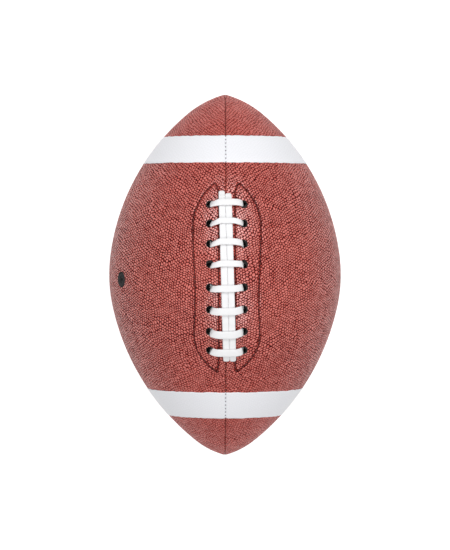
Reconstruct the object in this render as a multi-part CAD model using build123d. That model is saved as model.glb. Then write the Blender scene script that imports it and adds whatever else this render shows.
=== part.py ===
from build123d import *
import math
import os
from functools import lru_cache

# An American football, lying on its side with the lacing on top.
# Four sewn panels make the cover. Each has a lining, the two upper ones also have a sewn facing
# behind their lace holes, and a bladder with a rubber valve fills the inside.
# All sizes are in millimetres. The ball's long axis is X, Y runs across the lacing and Z is up.
# Every piece is modelled about the ball's middle, and is lifted onto the ground when it is written.

# Outside of the ball: to each end, its profile is a belly arc, a shoulder arc, a point arc and a tip arc, all tangent.
# A turn is the slope, in degrees, at which the belly arc ends. The nose half is a little fuller than the tail half.
BALL_LENGTH = 272.2
BALL_DIAMETER = 175.0
NOSE_BELLY_RADIUS = 123.4
NOSE_BELLY_TURN = 8.2
NOSE_SHOULDER_RADIUS = 166.7
NOSE_POINT_RADIUS = 74.5
TAIL_BELLY_RADIUS = 109.6
TAIL_BELLY_TURN = 11.9
TAIL_SHOULDER_RADIUS = 178.6
TAIL_POINT_RADIUS = 60.0
TIP_RADIUS = 7.0

# Cover panels, with the seam allowances that are turned inward and sewn to each other.
PANEL_THICKNESS = 2.0
SEAM_GAP = 0.2
SEAM_ROUNDING = 1.2
ALLOWANCE_THICKNESS = 1.5
ALLOWANCE_DEPTH = 2.6

# Layers behind the panels.
LAYER_GAP = 0.1
LINING_THICKNESS = 0.8
FACING_THICKNESS = 1.2
TONGUE_THICKNESS = 1.5
BLADDER_WALL = 0.9
BLADDER_GAP = 0.3

# Seam stitching.
THREAD_SIZE = 0.7
THREAD_CLEARANCE = 0.05
STITCH_PITCH = 6.0
STITCHES_STOP_BEFORE_TIP = 14.0

# White stripes, each from its station along the axis towards the tip.
NOSE_STRIPE_STATION = 83.8
TAIL_STRIPE_STATION = 85.2
STRIPE_AXIAL_WIDTH = 20.0
STRIPE_FILM = 0.2
FILM_SEAT = 0.03

# Lacing: a cross lace through two rows of holes, over a doubled spine.
RUNG_COUNT = 8
RUNG_PITCH = 16.2
RUNG_WIDTH = 6.0
RUNG_FLAT_HALF = 7.2
RUNG_SHOULDER_BEND = 3.0
RUNG_LEG_BEND = 1.4
RUNG_DIP = 0.3
LACE_THICKNESS = 1.5
LACE_CLEARANCE = 0.25
LACE_TAIL = 12.0
LEG_WIDTH = 4.2
LEG_OFFSET = 11.0
HOLE_DIAMETER = 5.8
HOLE_OFFSET = 11.8
STRAND_WIDTH = 4.6
STRAND_GAP = 0.2
SPINE_NOSE_OVERHANG = 7.3
SPINE_TAIL_OVERHANG = 5.3
SPINE_FOLD = 4.0
SPINE_LEAN = 1.35
SPINE_SHIFT = 1.1
SLOT_MARGIN = 6.0

# Facing behind each row of lace holes, and the leaf-shaped line of stitches that holds it.
LEAF_OVERHANG = 13.4
LEAF_END_RUN = 30.0
LEAF_HOOK = 6.4
LEAF_SIDE = 24.0
LEAF_CORNER = 8.0
LEAF_INNER = 6.4
FACING_MARGIN = 2.4
STITCH_GROOVE_WIDTH = 1.1
STITCH_GROOVE_DEPTH = 0.7

# Tongue under the lacing, past the edges of the facings.
TONGUE_MARGIN = 1.6

# Valve in the left lace panel.
VALVE_ANGLE = 62.0
VALVE_STATION = 2.5
VALVE_NECK_DIAMETER = 11.2
VALVE_FLANGE_DIAMETER = 24.0
VALVE_FLANGE_THICKNESS = 1.2
VALVE_STEM_DIAMETER = 9.0
VALVE_LENGTH = 13.0
VALVE_SINK = 0.2
VALVE_FIT_GAP = 0.2
CORE_DIAMETER = 5.0
CORE_CLEARANCE = 0.05
CORE_SINK = 0.6
CORE_LENGTH = 11.0
NEEDLE_DIAMETER = 2.0
NEEDLE_DEPTH = 8.5

# Worked out from the sizes above.
BALL_RADIUS = BALL_DIAMETER / 2
HALF_LENGTH = BALL_LENGTH / 2
HALF_GAP = SEAM_GAP / 2
REST_HEIGHT = math.sqrt(BALL_RADIUS**2 - (HALF_GAP + SEAM_ROUNDING) ** 2)
SEAM_DEPTH = PANEL_THICKNESS + ALLOWANCE_DEPTH
STITCH_DEPTH = PANEL_THICKNESS + ALLOWANCE_DEPTH / 2
LINING_TOP = PANEL_THICKNESS + LAYER_GAP
LINING_BOTTOM = LINING_TOP + LINING_THICKNESS
LINING_INSET = HALF_GAP + ALLOWANCE_THICKNESS + THREAD_SIZE + 2 * LAYER_GAP
FACING_TOP = LINING_BOTTOM + LAYER_GAP
FACING_BOTTOM = FACING_TOP + FACING_THICKNESS
BLADDER_FIELD = LINING_BOTTOM + BLADDER_GAP
BLADDER_SEAM = SEAM_DEPTH + BLADDER_GAP
BLADDER_INSET = LINING_INSET + BLADDER_GAP
ROOM = 2 * BALL_LENGTH

NOSE, TAIL = -1, 1
END_RADII = {
    NOSE: (NOSE_BELLY_RADIUS, NOSE_SHOULDER_RADIUS, NOSE_POINT_RADIUS),
    TAIL: (TAIL_BELLY_RADIUS, TAIL_SHOULDER_RADIUS, TAIL_POINT_RADIUS),
}
BELLY_TURNS = {NOSE: math.radians(NOSE_BELLY_TURN), TAIL: math.radians(TAIL_BELLY_TURN)}
STRIPE_STATIONS = {NOSE: NOSE_STRIPE_STATION, TAIL: TAIL_STRIPE_STATION}
QUARTERS = {
    "lace_left": (-1, 1),
    "lace_right": (1, 1),
    "back_left": (-1, -1),
    "back_right": (1, -1),
}
SEAM_TURNS = {"lace": 0, "right": -90, "back": 180, "left": 90}


# Profile of the ball.


def end_of(place):
    """The end of the ball on whose side a station or a run lies."""
    return NOSE if place < 0 else TAIL


def shoulder_centre(end):
    """Centre (x, r) of an end's shoulder arc, which goes on where its belly arc ends."""
    belly_radius, shoulder_radius, _ = END_RADII[end]
    apart = belly_radius - shoulder_radius
    turn = BELLY_TURNS[end]
    return apart * math.sin(turn), BALL_RADIUS - belly_radius + apart * math.cos(turn)


def point_centre(end):
    """Centre (x, r) of the arc that is tangent to an end's shoulder arc and to its tip arc."""
    _, shoulder_radius, point_radius = END_RADII[end]
    sx, sr = shoulder_centre(end)
    to_shoulder = shoulder_radius - point_radius
    to_tip = point_radius - TIP_RADIUS
    run, rise = HALF_LENGTH - TIP_RADIUS - sx, 0.0 - sr
    apart = math.hypot(run, rise)
    along = (to_shoulder**2 - to_tip**2 + apart**2) / (2 * apart)
    across = math.sqrt(to_shoulder**2 - along**2)
    ux, ur = run / apart, rise / apart
    return sx + along * ux - across * ur, sr + along * ur + across * ux


def end_arcs(end, depth=0.0):
    """The arcs from the belly to an end's tip: (centre x, centre r, radius, start angle, end angle).
    Here x points to that tip, and an angle is measured from straight out towards it.
    A layer deeper than the tip's radius has no tip arc, and its point arc goes on to the axis."""
    belly_radius, shoulder_radius, point_radius = END_RADII[end]
    sx, sr = shoulder_centre(end)
    px, pr = point_centre(end)
    tip = HALF_LENGTH - TIP_RADIUS
    belly_end = BELLY_TURNS[end]
    shoulder_end = math.atan2(px - sx, pr - sr)
    blunt = depth < TIP_RADIUS
    point_end = math.atan2(tip - px, 0.0 - pr) if blunt else math.acos(-pr / (point_radius - depth))
    arcs = [
        (0.0, BALL_RADIUS - belly_radius, belly_radius, 0.0, belly_end),
        (sx, sr, shoulder_radius, belly_end, shoulder_end),
        (px, pr, point_radius, shoulder_end, point_end),
    ]
    return [*arcs, (tip, 0.0, TIP_RADIUS, point_end, math.pi / 2)] if blunt else arcs


def profile_arcs(depth=0.0):
    """The arcs of the whole profile, from the nose to the tail."""
    to_nose = [(-x, r, radius, -end, -start) for x, r, radius, start, end in end_arcs(NOSE, depth)]
    return [*reversed(to_nose), *end_arcs(TAIL, depth)]


def arc_point(arc, angle, depth):
    """The point (x, r) on an arc at an angle, that far under the ball's surface."""
    x, r, radius = arc[:3]
    return x + (radius - depth) * math.sin(angle), r + (radius - depth) * math.cos(angle)


def half_girth(end):
    """Length along the surface from the middle of the ball to an end's tip."""
    return sum(radius * (stop - start) for _, _, radius, start, stop in end_arcs(end))


def surface_at(run, depth=0.0):
    """The place that lies that far along the surface from the middle: (x, r, angle of its normal)."""
    left = abs(run)
    for arc in end_arcs(end_of(run)):
        _, _, radius, start, end = arc
        if left <= radius * (end - start):
            break
        left -= radius * (end - start)
    angle = start + left / radius
    x, r = arc_point(arc, angle, depth)
    side = math.copysign(1.0, run)
    return side * x, r, side * angle


def drop(across):
    """How far the surface falls from the seam to a point that far to its side."""
    return BALL_RADIUS - math.sqrt(BALL_RADIUS**2 - across**2)


@lru_cache(maxsize=None)
def profile_face(depth):
    """Half of the ball's lengthwise section, that far under its surface, above the axis."""
    edges, stations = [], []
    for arc in profile_arcs(depth):
        start, end = arc[3:]
        points = [arc_point(arc, angle, depth) for angle in (start, (start + end) / 2, end)]
        edges.append(ThreePointArc(*[(x, 0, r) for x, r in points]))
        stations += [points[0][0], points[-1][0]]
    edges.append(Line((stations[-1], 0, 0), (stations[0], 0, 0)))
    return make_face(edges)


@lru_cache(maxsize=None)
def core(depth):
    """Everything that lies at least that far under the ball's surface, as one solid."""
    return revolve(profile_face(depth), Axis.X)


def layer(top, bottom):
    """A whole skin of the ball between two depths."""
    return core(top) - core(bottom)


def quarter(sides, inset):
    """The space between two seam planes, set in from both of them."""
    y, z = sides
    block = Box(ROOM, ROOM, ROOM, align=(Align.CENTER, Align.MIN, Align.MIN))
    block = Pos(0, inset, inset) * block
    if y < 0:
        block = mirror(block, Plane.XZ)
    if z < 0:
        block = mirror(block, Plane.XY)
    return block


def upright(sketch):
    """A plan outline of the lacing side, as a tall block above the ball's axis."""
    return extrude(sketch, amount=ROOM)


# Seams.


def seam_groove(turn):
    """The valley that the two rounded panel edges leave along a seam."""
    reach = HALF_GAP + SEAM_ROUNDING
    slant = SEAM_ROUNDING * (1 - math.sqrt(0.5))
    tool = None
    for x, r, radius, start, end in profile_arcs():
        edge, foot, lip = radius, radius - SEAM_ROUNDING, radius + SEAM_ROUNDING
        section = make_face(
            [
                Line((-reach, lip), (reach, lip)),
                Line((reach, lip), (reach, edge)),
                ThreePointArc((reach, edge), (HALF_GAP + slant, edge - slant), (HALF_GAP, foot)),
                Line((HALF_GAP, foot), (-HALF_GAP, foot)),
                ThreePointArc((-HALF_GAP, foot), (-HALF_GAP - slant, edge - slant), (-reach, edge)),
                Line((-reach, edge), (-reach, lip)),
            ]
        )
        across = Plane((x, 0, r), x_dir=(0, 1, 0), z_dir=(math.cos(start), 0, -math.sin(start)))
        piece = revolve(across * section, Axis((x, 0, r), (0, 1, 0)), math.degrees(end - start))
        tool = piece if tool is None else tool + piece
    return Rot(turn, 0, 0) * tool


def slot_half():
    """Half the length, along the surface, of the unsewn slot under the lacing."""
    return (RUNG_COUNT - 1) / 2 * RUNG_PITCH + SLOT_MARGIN


def stitch_runs(seam):
    """Where the stitches of a seam lie along the surface. The lacing's slot has none."""
    first = slot_half() if seam == "lace" else 0.0
    runs = []
    for end in (NOSE, TAIL):
        count = int((half_girth(end) - STITCHES_STOP_BEFORE_TIP) / STITCH_PITCH)
        steps = [(n + 0.5) * STITCH_PITCH for n in range(count)]
        runs += [end * step for step in steps if step > first]
    return runs


def stitch_pegs(seam, diameter, half_width):
    """Short round bars across a seam, one for each stitch."""
    dots = Sketch()
    for run in stitch_runs(seam):
        x, r, _ = surface_at(run, STITCH_DEPTH)
        dots += Pos(x, r) * Circle(diameter / 2)
    return Rot(SEAM_TURNS[seam], 0, 0) * extrude(Plane.XZ * dots, amount=half_width, both=True)


def lengthwise(low, high):
    """The part of the ball's lengthwise section between two stations."""
    return Plane.XZ * Pos((low + high) / 2, 0) * Rectangle(high - low, ROOM)


def seam_thread(seam):
    """A seam's lock stitch: a thread along each allowance, tied through both by the stitches."""
    near = HALF_GAP + ALLOWANCE_THICKNESS + THREAD_CLEARANCE
    stations = [surface_at(run, STITCH_DEPTH)[0] for run in stitch_runs(seam)]
    band = profile_face(STITCH_DEPTH - THREAD_SIZE / 2) - profile_face(STITCH_DEPTH + THREAD_SIZE / 2)
    band &= lengthwise(min(stations) - THREAD_SIZE, max(stations) + THREAD_SIZE)
    if seam == "lace":
        nose_start = max(station for station in stations if station < 0)
        tail_start = min(station for station in stations if station > 0)
        band -= lengthwise(nose_start + THREAD_SIZE, tail_start - THREAD_SIZE)
    rail = extrude(band, amount=THREAD_SIZE, dir=(0, 1, 0))
    rails = Pos(0, near, 0) * rail + Pos(0, -near - THREAD_SIZE, 0) * rail
    thread = Rot(SEAM_TURNS[seam], 0, 0) * rails
    return thread + stitch_pegs(seam, THREAD_SIZE, near + THREAD_SIZE / 2)


# Lacing.


def rung_runs():
    """Where the rungs of the lace lie along the surface."""
    return [(n - (RUNG_COUNT - 1) / 2) * RUNG_PITCH for n in range(RUNG_COUNT)]


def last_rung(end):
    """How far along the axis the rung nearest to an end lies from the ball's middle."""
    return abs(surface_at(end * rung_runs()[-1])[0])


def seat_at(run):
    """A frame on top of the ball: x along the ball, y across the lacing and z straight out."""
    x, r, angle = surface_at(run)
    return Plane(
        (x, 0, r),
        x_dir=(math.cos(angle), 0, -math.sin(angle)),
        z_dir=(math.sin(angle), 0, math.cos(angle)),
    )


def lace_holes(side, diameter):
    """Round bars that punch one row of lace holes through all the layers."""
    depth = 2 * FACING_BOTTOM
    bars = [
        seat_at(run) * Pos(0, side * HOLE_OFFSET, -depth / 2) * Cylinder(diameter / 2, 2 * depth)
        for run in rung_runs()
    ]
    return bars


def spine_top():
    """Height of the spine's upper face over the ball."""
    return LACE_CLEARANCE + LACE_THICKNESS


def link_top():
    """Height, over the ball at the seam, of the upper face of the lace where it runs inside."""
    return -(drop(LEG_OFFSET + LEG_WIDTH / 2) + FACING_BOTTOM + LACE_CLEARANCE)


def rung_outline():
    """Side view of a rung: up from one hole, over the spine and down the other hole."""
    flat = spine_top() + LACE_CLEARANCE + LACE_THICKNESS / 2
    foot = link_top() - LACE_THICKNESS
    corners = [(LEG_OFFSET, foot), (LEG_OFFSET, RUNG_DIP), (RUNG_FLAT_HALF, flat)]
    path = [*corners, *[(-y, z) for y, z in reversed(corners)]]
    bends = [RUNG_LEG_BEND, RUNG_SHOULDER_BEND, RUNG_SHOULDER_BEND, RUNG_LEG_BEND]
    return trace(FilletPolyline(*path, radius=bends), LACE_THICKNESS)


def rung():
    """One rung of the cross lace: a flat strap with a narrower leg into each hole."""
    side_view = Plane.YZ * rung_outline()
    strap_half = HOLE_OFFSET - HOLE_DIAMETER / 2
    legs = extrude(side_view, amount=LEG_WIDTH / 2, both=True)
    strap = extrude(side_view, amount=RUNG_WIDTH / 2, both=True)
    return legs + (strap & Box(ROOM, 2 * strap_half, ROOM))


def lace_link(run_from, run_to, side):
    """The lace inside the cover, from one hole to the next in the same row."""
    middle = link_top() - LACE_THICKNESS / 2
    start = seat_at(run_from).from_local_coords((0, side * LEG_OFFSET, middle))
    end = seat_at(run_to).from_local_coords((0, side * LEG_OFFSET, middle))
    chord = end - start
    across = Plane((start + end) / 2, x_dir=chord, z_dir=chord.cross(Vector(0, 1, 0)))
    return across * Box(chord.length + LACE_THICKNESS, LEG_WIDTH, LACE_THICKNESS)


def cross_lace():
    """One lace in and out of all the holes: a rung across, then inside to the next hole."""
    runs = rung_runs()
    lace = Part()
    for run in runs:
        lace += seat_at(run) * rung()
    for n, (run_from, run_to) in enumerate(zip(runs, runs[1:])):
        lace += lace_link(run_from, run_to, 1 if n % 2 == 0 else -1)
    lace += lace_link(runs[0] - LACE_TAIL, runs[0], -1)
    last_side = -1 if RUNG_COUNT % 2 == 0 else 1
    lace += lace_link(runs[-1], runs[-1] + LACE_TAIL, last_side)
    return lace


def lace_spine():
    """The doubled strip under the rungs, folded at the nose end and cut at the tail end."""
    nose_end = last_rung(NOSE) + SPINE_NOSE_OVERHANG
    length = nose_end + last_rung(TAIL) + SPINE_TAIL_OVERHANG
    start = (Align.MIN, Align.CENTER)
    aside = (STRAND_WIDTH + STRAND_GAP) / 2
    strand = Rectangle(length, STRAND_WIDTH, align=start)
    plan = Pos(0, aside) * strand + Pos(0, -aside) * strand
    plan += Rectangle(SPINE_FOLD, 2 * aside, align=start)
    plan = Pos(0, SPINE_SHIFT) * Rot(0, 0, SPINE_LEAN) * Pos(-nose_end, 0) * plan
    return layer(-spine_top(), -LACE_CLEARANCE) & upright(plan)


# Facings, tongue and linings.


def leaf_half():
    """Half the length of the stitch line that holds a facing."""
    return max(last_rung(NOSE), last_rung(TAIL)) + LEAF_OVERHANG


def leaf(side):
    """Plan of the stitch line that holds a facing."""
    inner_half = leaf_half() - LEAF_HOOK
    tip, shoulder = (leaf_half(), LEAF_CORNER), (leaf_half() - LEAF_END_RUN, LEAF_SIDE)
    tip_back, shoulder_back = (-tip[0], tip[1]), (-shoulder[0], shoulder[1])
    plan = make_face(
        [
            Line(shoulder_back, shoulder),
            TangentArc(shoulder, tip, tangent=(1, 0)),
            Polyline(tip, (inner_half, LEAF_INNER), (-inner_half, LEAF_INNER), tip_back),
            TangentArc(shoulder_back, tip_back, tangent=(-1, 0)),
        ]
    )
    return plan if side > 0 else mirror(plan, Plane.XZ)


def leaf_line(side, width):
    """A band of that width along a facing's stitch line."""
    plan = leaf(side)
    outside = offset(plan, width / 2, kind=Kind.INTERSECTION)
    return outside - offset(plan, -width / 2, kind=Kind.INTERSECTION)


def facing(side):
    """The reinforcement behind one row of lace holes."""
    plan = offset(leaf(side), FACING_MARGIN, kind=Kind.INTERSECTION)
    piece = layer(FACING_TOP, FACING_BOTTOM) & upright(plan)
    return piece - lace_holes(side, HOLE_DIAMETER)


def facing_thread(side):
    """The line of stitches that shows round the lacing, sunk in the panel."""
    width = STITCH_GROOVE_WIDTH - 2 * THREAD_CLEARANCE
    skin = layer(THREAD_CLEARANCE, STITCH_GROOVE_DEPTH - THREAD_CLEARANCE)
    return skin & upright(leaf_line(side, width))


def tongue_top():
    """Depth of the tongue, clear of the lace where it runs inside."""
    sag = RUNG_PITCH**2 / (8 * min(NOSE_BELLY_RADIUS, TAIL_BELLY_RADIUS))
    nearest = drop(LEG_OFFSET - LEG_WIDTH / 2)
    return LACE_THICKNESS - link_top() - nearest + sag + LACE_CLEARANCE


def tongue_plan(margin):
    """Plan of the tongue, or of a space that lies that far outside it."""
    around = FACING_MARGIN + TONGUE_MARGIN + margin
    return Rectangle(2 * (leaf_half() + around), 2 * (LEAF_SIDE + around))


def tongue():
    """The pad between the lacing and the bladder."""
    top = tongue_top()
    return layer(top, top + TONGUE_THICKNESS) & upright(tongue_plan(0))


def lining(name):
    """The cloth behind one panel."""
    sides = QUARTERS[name]
    piece = layer(LINING_TOP, LINING_BOTTOM) & quarter(sides, LINING_INSET)
    if name.startswith("lace"):
        piece -= lace_holes(sides[0], HOLE_DIAMETER)
    if name == "lace_left":
        piece -= valve_bar(VALVE_NECK_DIAMETER / 2 + VALVE_FIT_GAP)
    return piece


# Cover.


def panel(name):
    """One panel of the cover, with its seam allowances turned inward."""
    sides = QUARTERS[name]
    y, z = sides
    cavity = core(PANEL_THICKNESS) & quarter(sides, HALF_GAP + ALLOWANCE_THICKNESS)
    piece = (core(0.0) & quarter(sides, HALF_GAP)) - cavity - core(SEAM_DEPTH)
    seams = ["lace" if z > 0 else "back", "right" if y > 0 else "left"]
    for seam in seams:
        piece -= seam_groove(SEAM_TURNS[seam])
        hole = THREAD_SIZE + 2 * THREAD_CLEARANCE
        piece -= stitch_pegs(seam, hole, ALLOWANCE_THICKNESS + THREAD_SIZE)
    if name.startswith("lace"):
        low, high = surface_at(-slot_half())[0], surface_at(slot_half())[0]
        slot = Pos((low + high) / 2, 0) * Rectangle(high - low, 2 * LINING_INSET)
        piece -= core(PANEL_THICKNESS) & upright(slot)
        piece -= lace_holes(y, HOLE_DIAMETER)
        piece -= layer(-STITCH_GROOVE_DEPTH, STITCH_GROOVE_DEPTH) & upright(
            leaf_line(y, STITCH_GROOVE_WIDTH)
        )
    if name == "lace_left":
        piece -= valve_bar(VALVE_NECK_DIAMETER / 2 + VALVE_FIT_GAP)
    return piece


def stripe(side, end):
    """White film on one lace panel, near one end of the ball."""
    middle = end * (STRIPE_STATIONS[end] + STRIPE_AXIAL_WIDTH / 2)
    skin = layer(-FILM_SEAT - STRIPE_FILM, -FILM_SEAT)
    span = Pos(middle, 0, 0) * Box(STRIPE_AXIAL_WIDTH, ROOM, ROOM)
    return skin & span & quarter((side, 1), HALF_GAP + SEAM_ROUNDING)


# Bladder and valve.


def valve_seat():
    """A frame on the ball's surface at the valve, with z straight out from the ball's axis."""
    turn = math.radians(VALVE_ANGLE)
    out = (0, -math.sin(turn), math.cos(turn))
    belly_radius = END_RADII[end_of(VALVE_STATION)][0]
    r = BALL_RADIUS - belly_radius + math.sqrt(belly_radius**2 - VALVE_STATION**2)
    return Plane((VALVE_STATION, r * out[1], r * out[2]), x_dir=(1, 0, 0), z_dir=out)


def valve_bar(radius, top=-2 * VALVE_LENGTH, bottom=2 * VALVE_LENGTH):
    """A round bar along the valve's axis, between two depths."""
    bar = Cylinder(radius, bottom - top, align=(Align.CENTER, Align.CENTER, Align.MAX))
    return valve_seat() * Pos(0, 0, -top) * bar


def bladder_form(shrink):
    """The bladder's outside, or what lies that far inside it."""
    form = core(BLADDER_SEAM + shrink)
    for sides in QUARTERS.values():
        form += core(BLADDER_FIELD + shrink) & quarter(sides, BLADDER_INSET + shrink)
    floor = tongue_top() + TONGUE_THICKNESS + BLADDER_GAP + shrink
    return form - (upright(tongue_plan(BLADDER_GAP + shrink)) - core(floor))


def bladder():
    """The inflated bladder, pressed into the panels and with a pocket for the tongue."""
    shell = bladder_form(0.0) - bladder_form(BLADDER_WALL)
    return shell - valve_bar(VALVE_NECK_DIAMETER / 2 + VALVE_FIT_GAP)


def valve_housing():
    """The rubber valve body: a neck in the panel, a flange under the bladder's wall and a stem."""
    flange_top = BLADDER_FIELD + BLADDER_WALL + LAYER_GAP
    flange_bottom = flange_top + VALVE_FLANGE_THICKNESS
    neck = core(VALVE_SINK) & valve_bar(VALVE_NECK_DIAMETER / 2, bottom=flange_bottom)
    flange = layer(flange_top, flange_bottom) & valve_bar(VALVE_FLANGE_DIAMETER / 2)
    stem = valve_bar(VALVE_STEM_DIAMETER / 2, flange_top, VALVE_LENGTH)
    return neck + flange + stem - valve_bar(CORE_DIAMETER / 2)


def valve_core():
    """The rubber plug that seals the valve. An inflating needle goes down its middle."""
    plug = valve_bar(CORE_DIAMETER / 2 - CORE_CLEARANCE, CORE_SINK, CORE_SINK + CORE_LENGTH)
    return plug - valve_bar(NEEDLE_DIAMETER / 2, bottom=CORE_SINK + NEEDLE_DEPTH)


def pieces():
    """Every piece of the ball, by name."""
    made = {"bladder": bladder(), "valve_housing": valve_housing(), "valve_core": valve_core()}
    for name in QUARTERS:
        made[f"panel_{name}"] = panel(name)
        made[f"lining_{name}"] = lining(name)
    for seam in SEAM_TURNS:
        made[f"seam_thread_{seam}"] = seam_thread(seam)
    for hand, side in (("left", -1), ("right", 1)):
        made[f"lace_facing_{hand}"] = facing(side)
        made[f"facing_thread_{hand}"] = facing_thread(side)
        made[f"stripe_nose_{hand}"] = stripe(side, NOSE)
        made[f"stripe_tail_{hand}"] = stripe(side, TAIL)
    made["lace_tongue"] = tongue()
    made["lace_cross"] = cross_lace()
    made["lace_spine"] = lace_spine()
    return made


os.makedirs("parts", exist_ok=True)
for piece_name, piece_shape in pieces().items():
    export_step(Pos(0, 0, REST_HEIGHT) * piece_shape, f"parts/{piece_name}.step")
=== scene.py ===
"""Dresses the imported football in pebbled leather, stripes, white lacing, stitching and a rubber valve."""

import math
import random

import bmesh
import bpy
import numpy as np
from bpy.props import FloatProperty, FloatVectorProperty, PointerProperty
from mathutils import Matrix, Vector


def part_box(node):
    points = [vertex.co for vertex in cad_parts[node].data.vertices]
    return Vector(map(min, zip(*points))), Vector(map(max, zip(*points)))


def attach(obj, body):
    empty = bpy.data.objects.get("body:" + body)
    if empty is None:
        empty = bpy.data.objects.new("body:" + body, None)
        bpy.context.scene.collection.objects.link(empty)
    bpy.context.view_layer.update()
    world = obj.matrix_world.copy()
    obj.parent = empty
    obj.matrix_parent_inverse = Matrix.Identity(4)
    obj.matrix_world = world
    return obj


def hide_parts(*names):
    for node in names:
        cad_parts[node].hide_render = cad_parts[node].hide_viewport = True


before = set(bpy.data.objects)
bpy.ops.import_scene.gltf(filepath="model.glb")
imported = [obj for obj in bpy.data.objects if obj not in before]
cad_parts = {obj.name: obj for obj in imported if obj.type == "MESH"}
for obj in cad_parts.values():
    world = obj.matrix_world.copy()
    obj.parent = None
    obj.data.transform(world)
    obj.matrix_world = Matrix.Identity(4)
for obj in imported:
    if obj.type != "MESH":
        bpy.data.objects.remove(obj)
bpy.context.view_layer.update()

bl_info = {
    "name": "Football dresser",
    "version": (1, 0, 0),
    "blender": (4, 5, 0),
    "location": "3D View > Sidebar > Football",
    "description": "Builds a football's leather, stripes, lacing, stitching and valve on its CAD frame",
    "category": "Object",
}

MM = 0.001
BALL_BODY = "ball"
PLUG_BODY = "valve_plug"
BACK_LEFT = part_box("panel_back_left")
LACE_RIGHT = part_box("panel_lace_right")
CENTRE_HEIGHT = (BACK_LEFT[1].z + LACE_RIGHT[0].z) / 2
PANEL_SIDES = {"lace_left": (-1, 1), "lace_right": (1, 1), "back_left": (-1, -1), "back_right": (1, -1)}
SEAM_TURNS = {"lace": 0.0, "right": 90.0, "back": 180.0, "left": 270.0}
HANDS = {"left": -1, "right": 1}
ENDS = {"nose": -1, "tail": 1}
STRIPE_SPANS = [[corner.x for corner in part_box(f"stripe_{end}_left")] for end in ENDS]
# Half the share by which the hide is drawn wider at the side seams than at the lacing
SIDE_DRAW = 0.14
# The leather's grain: the turn of its rows, then how often the rows bend and the pebbles stray in a pitch of
# the pebbles, and by how many pitches
ROW_TURN = 0.62
BENDS, BEND = 0.09, 4.0
STRAYS, STRAY = 0.6, 1.0
# The stitch line round the lacing: the spacing of its points, and where and how often its sides stray
LEAF_STEP = 0.4 * MM
LEAF_CREST = 33.0 * MM
LEAF_WAVE = 95.0 * MM
# The lacing as it was drawn tight by hand, in millimetres, one line for each rung from the nose down: how far
# its holes and then the rung itself stray to the tail, its width, and how far its left and right end droop
RUNGS = (
    (2.0, 1.8, 4.9, 0.7, -0.2),
    (0.6, -0.6, 4.3, 1.9, 1.0),
    (-0.4, -1.5, 4.7, 1.7, 0.7),
    (-1.6, -1.8, 4.6, 1.2, 0.1),
    (-0.8, -0.2, 5.0, 0.4, -0.6),
    (-0.5, 0.1, 5.5, 0.1, -0.9),
    (0.0, 1.4, 5.7, -0.3, -1.1),
    (-1.3, -0.9, 5.6, 0.0, -0.2),
)


def amount(name, default, description, **kind):
    """A number that a user may change."""
    return FloatProperty(name=name, description=description, default=default, **kind)


def length(name, millimetres, description):
    """A length that a user may change, given in millimetres and kept in metres."""
    return amount(name, millimetres * MM, description, unit="LENGTH", precision=5)


def angle(name, degrees, description):
    """An angle that a user may change, given in degrees."""
    return amount(name, math.radians(degrees), description, subtype="ANGLE")


def colour(name, default, description):
    """A colour that a user may change."""
    return FloatVectorProperty(
        name=name, description=description, default=default, subtype="COLOR", size=3, min=0.0, max=1.0
    )


# Sizes and colours


class BallShape(bpy.types.PropertyGroup):
    """The ball's outside, as the CAD frame has it."""

    half_length: length("Half length", LACE_RIGHT[1].x / MM, "From the middle of the ball to a tip")
    radius: length("Radius", LACE_RIGHT[1].y / MM, "Half the ball's thickness")
    centre_height: length("Centre height", CENTRE_HEIGHT / MM, "Height of the ball's axis over the ground")
    nose_belly_radius: length("Nose belly radius", 123.4, "Radius of the belly arc to the nose")
    nose_belly_turn: angle("Nose belly turn", 8.2, "Slope where that arc ends")
    nose_shoulder_radius: length("Nose shoulder radius", 166.7, "Radius of the nose's shoulder arc")
    nose_shoulder_turn: angle("Nose shoulder turn", 50.0, "Slope where that arc ends")
    nose_point_radius: length("Nose point radius", 74.5, "Radius of the arc from there to the nose's tip")
    tail_belly_radius: length("Tail belly radius", 109.6, "Radius of the belly arc to the tail")
    tail_belly_turn: angle("Tail belly turn", 11.9, "Slope where that arc ends")
    tail_shoulder_radius: length("Tail shoulder radius", 178.6, "Radius of the tail's shoulder arc")
    tail_shoulder_turn: angle("Tail shoulder turn", 51.3, "Slope where that arc ends")
    tail_point_radius: length("Tail point radius", 60.0, "Radius of the arc from there to the tail's tip")
    tip_radius: length("Tip radius", 7.0, "Radius of the rounding on each tip")
    seam_gap: length("Seam gap", 0.12, "Space between two panel edges")
    seam_rounding: length("Seam rounding", 1.2, "Rounding of a panel's edge")
    edge_depth: length("Edge depth", 2.4, "How far a panel's edge reaches in")


class CoverLook(bpy.types.PropertyGroup):
    """The leather cover."""

    mesh_step: length("Mesh step", 0.72, "Distance between the points of a panel's mesh")
    pebble_pitch: length("Pebble pitch", 2.05, "Distance between two pebbles of the grain")
    pebble_relief: length("Pebble relief", 0.19, "Depth of the creases between the pebbles")
    # The pebbles' tops: the leather's colour made paler, partly a painted sheen
    top_sheen_colour: colour("Pebble colour", (0.65, 0.138, 0.106), "Colour of the pebbles' tops")
    hide_colour: colour("Leather colour", (0.43, 0.038, 0.026), "Colour of the pebbles' sides")
    # The pits between the pebbles: near black, painted shade in the creases
    crease_shade_colour: colour("Crease colour", (0.040, 0.003, 0.003), "Colour of the pits between pebbles")
    # The walls inside the punched holes: near black, painted shade down the holes
    hole_shade_colour: colour("Cut edge colour", (0.016, 0.017, 0.015), "Colour inside the punched holes")


class StripeLook(bpy.types.PropertyGroup):
    """The painted stripes."""

    film: length("Film", 0.17, "How far the paint stands over the leather")
    edge_wander: length("Edge wander", 0.28, "How far a stripe's edge strays along the pebbles")
    white: colour("White", (0.885, 0.89, 0.925), "Colour of the stripes")


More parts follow.
